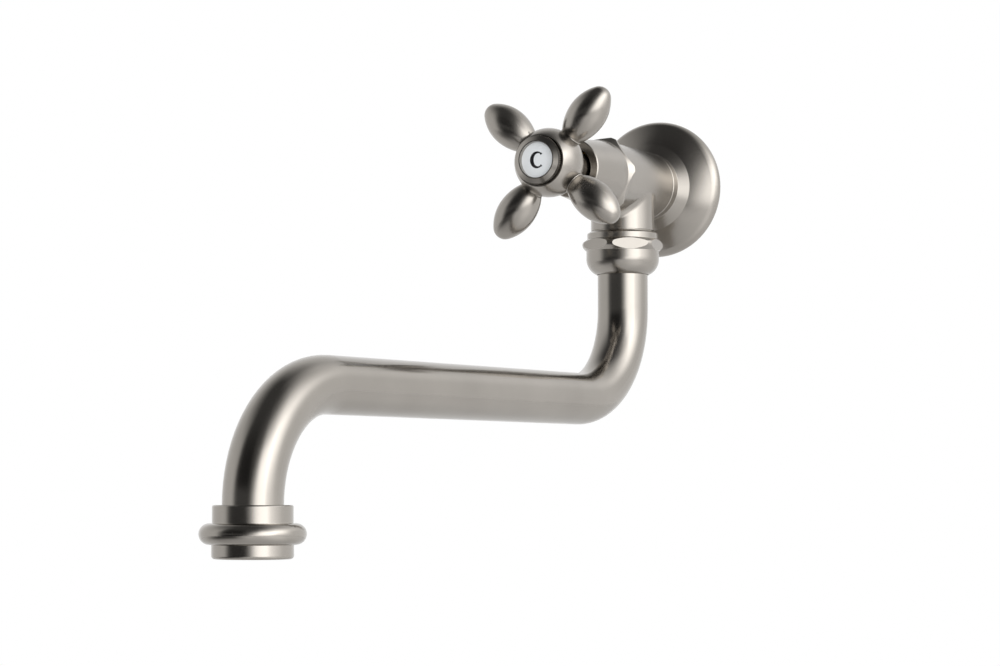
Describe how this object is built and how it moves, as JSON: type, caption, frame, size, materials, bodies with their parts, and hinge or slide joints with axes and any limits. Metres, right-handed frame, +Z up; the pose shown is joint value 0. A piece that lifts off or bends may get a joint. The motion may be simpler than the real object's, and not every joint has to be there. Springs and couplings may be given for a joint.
{
  "type": "wall-mounted tap with swivel spout",
  "caption": "Wall-mounted kitchen tap: round flange, tee body, quarter-turn cross handle with porcelain index and long S-shaped swivel spout with aerator.",
  "frame": {"origin": "centre of the threaded inlet in the plane of the wall", "axes": "+Z up, +Y into the wall along the inlet, +X to the right seen from in front of the tap"},
  "size_m": [0.0753, 0.337, 0.191],
  "materials": {
    "satin_nickel_body": "satin brushed nickel plate on brass",
    "satin_nickel_handle": "satin brushed nickel plate on brass",
    "satin_nickel_spout": "satin brushed nickel plate on brass tube",
    "index_nickel": "darker bright nickel with a coin edge",
    "porcelain": "white glazed porcelain",
    "raw_brass": "turned brass",
    "ceramic_disc": "lapped alumina",
    "black_rubber": "moulded rubber",
    "fibre": "red fibre sheet",
    "white_ptfe": "turned PTFE",
    "black_acetal": "turned black acetal",
    "stainless": "stainless steel",
    "aerator_plastic": "moulded acetal"
  },
  "bodies": {
    "tap_body": {"wall_flange": "satin_nickel_body", "flange_seal": "black_rubber", "inlet_nipple": "raw_brass", "inlet_washer": "fibre", "tee_body": "satin_nickel_body", "seat_seal": "black_rubber", "fixed_disc": "ceramic_disc", "cartridge_body": "raw_brass", "cartridge_seal": "black_rubber", "thrust_washer": "white_ptfe", "bonnet": "satin_nickel_body", "swivel_nut": "satin_nickel_body", "upper_swivel_washer": "white_ptfe", "lower_swivel_washer": "black_acetal"},
    "handle": {"spindle": "raw_brass", "moving_disc": "ceramic_disc", "stem_seals": "black_rubber", "spindle_clip": "stainless", "handle_hub": "satin_nickel_handle", "handle_arm_1": "satin_nickel_handle", "handle_arm_2": "satin_nickel_handle", "handle_arm_3": "satin_nickel_handle", "handle_arm_4": "satin_nickel_handle", "handle_screw": "stainless", "screw_washer": "stainless", "index_bezel": "index_nickel", "index_ring": "black_rubber", "index_disc": "porcelain"},
    "spout": {"swivel_ferrule": "raw_brass", "spout_seals": "black_rubber", "spout_tube": "satin_nickel_spout", "outlet_fitting": "satin_nickel_spout", "aerator_washer": "black_rubber", "aerator_housing": "satin_nickel_spout", "aerator_screen": "stainless", "aerator_insert": "aerator_plastic"}
  },
  "joints": [
    {"name": "handle_turn", "type": "hinge", "parent": "tap_body", "child": "handle", "pos_m": [0, -0.1113, 0], "axis": [0, -1, 0], "range_deg": [0, 90]},
    {"name": "spout_swivel", "type": "hinge", "parent": "tap_body", "child": "spout", "pos_m": [0, -0.039, -0.0305], "axis": [0, 0, 1], "range_deg": [-84.54, 95.46]}
  ]
}
